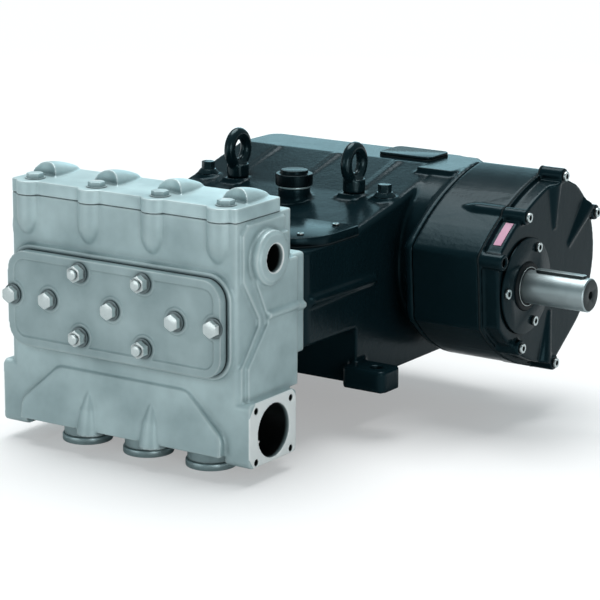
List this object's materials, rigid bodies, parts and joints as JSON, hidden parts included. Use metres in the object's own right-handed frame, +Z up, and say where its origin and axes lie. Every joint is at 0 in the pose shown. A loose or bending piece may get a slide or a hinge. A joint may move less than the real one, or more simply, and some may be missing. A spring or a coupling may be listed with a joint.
{
  "type": "triplex plunger pump",
  "caption": "Horizontal high-pressure plunger pump with a cast valve manifold in front, a crankcase behind it, and a side gear case with a keyed input shaft.",
  "frame": {"origin": "middle of the four foot bolts, on the flat underside, which rests on the base frame and carries the pump once it is bolted down", "axes": "+X along the crankshaft and the input shaft towards the drive side, +Y from the valve manifold to the rear cover, +Z up"},
  "size_m": [0.832, 0.8176, 0.4535],
  "materials": {
    "manifold_metal": "satin casting",
    "cover_metal": "satin casting",
    "plug_metal": "machined",
    "bolt_steel": "bright zinc",
    "black_paint": "gloss",
    "black_steel": "satin",
    "shaft_steel": "ground",
    "seal_rubber": "matte",
    "filler_plastic": "gloss",
    "sight_glass": "clear"
  },
  "bodies": {
    "pump": {"bay_cover": "black_paint", "bay_cover_screws": "bolt_steel", "cover_bolt_1": "bolt_steel", "cover_bolt_2": "bolt_steel", "cover_bolt_3": "bolt_steel", "cover_bolt_4": "bolt_steel", "cover_bolt_5": "bolt_steel", "cover_stud_1": "bolt_steel", "cover_stud_2": "bolt_steel", "cover_stud_3": "bolt_steel", "cover_stud_4": "bolt_steel", "crankcase": "black_paint", "eyebolt_left": "black_steel", "eyebolt_right": "black_steel", "gear_cover": "black_paint", "gear_cover_screws": "bolt_steel", "gear_housing": "black_paint", "head_bolt_1": "bolt_steel", "head_bolt_2": "bolt_steel", "head_bolt_3": "bolt_steel", "head_bolt_4": "bolt_steel", "inspection_cover": "black_paint", "manifold_body": "manifold_metal", "manifold_head": "manifold_metal", "oil_drain_plug": "bolt_steel", "oil_filler": "filler_plastic", "oil_sight_glass": "sight_glass", "pinion_cover": "black_paint", "pinion_cover_screws": "bolt_steel", "rear_cover": "black_paint", "rear_cover_screws": "bolt_steel", "shaft_seal": "seal_rubber", "side_bearing_cover": "black_paint", "side_bearing_screws": "bolt_steel", "top_bolt_left": "black_steel", "top_bolt_right": "black_steel", "valve_cover": "cover_metal", "valve_plug_1": "plug_metal", "valve_plug_2": "plug_metal", "valve_plug_3": "plug_metal"},
    "shaft": {"input_shaft": "shaft_steel", "shaft_key": "shaft_steel"}
  },
  "joints": [
    {"name": "shaft_spin", "type": "hinge", "parent": "pump", "child": "shaft", "pos_m": [0.45, -0.006, 0.162], "axis": [1, 0, 0], "continuous": true}
  ]
}
